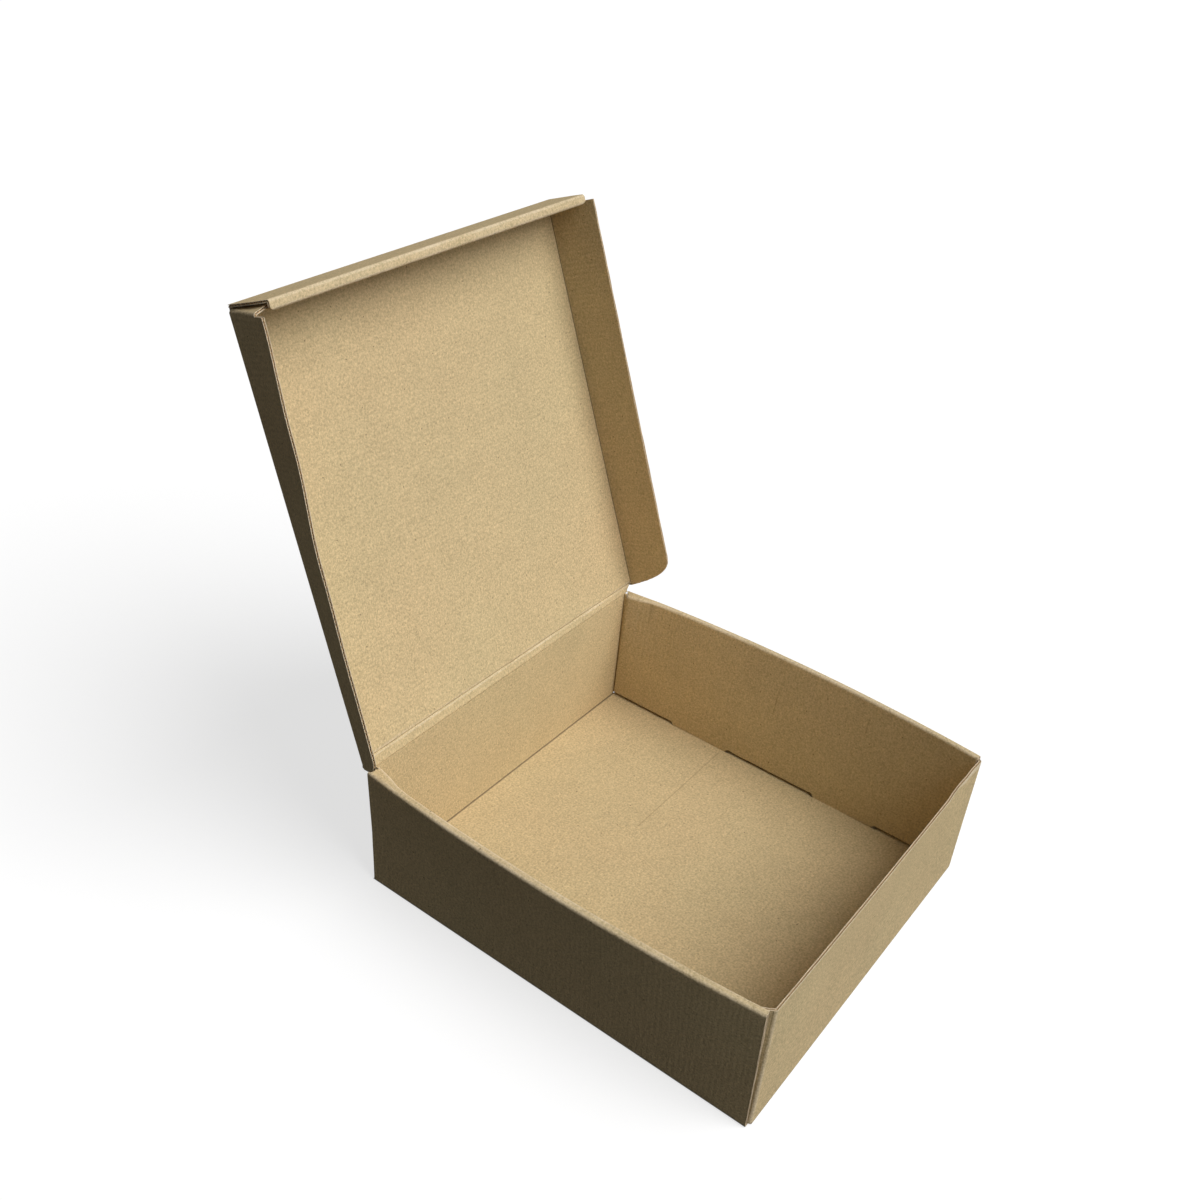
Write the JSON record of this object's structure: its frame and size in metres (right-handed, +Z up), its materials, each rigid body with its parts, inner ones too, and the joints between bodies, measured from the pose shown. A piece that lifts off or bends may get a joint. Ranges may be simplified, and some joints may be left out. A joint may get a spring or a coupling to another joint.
{
  "type": "cardboard box",
  "caption": "Open mailer box folded from one sheet of brown corrugated board, with rolled side walls and a hinged lid with side flaps",
  "frame": {"origin": "Middle of the underside of the tray, on the surface the box stands on", "axes": "X along the hinge, -Y towards the front wall, +Y towards the hinge wall and the lid, Z up"},
  "size_m": [0.2972, 0.3812, 0.3727],
  "materials": {
    "board": "matte"
  },
  "bodies": {
    "tray": {"tray": "board"},
    "lid": {"lid": "board"}
  },
  "joints": [
    {"name": "lid_hinge", "type": "hinge", "parent": "tray", "child": "lid", "pos_m": [0, 0.1392, 0.0932], "axis": [1, 0, 0], "range_deg": [-69.2, 110.8]}
  ]
}
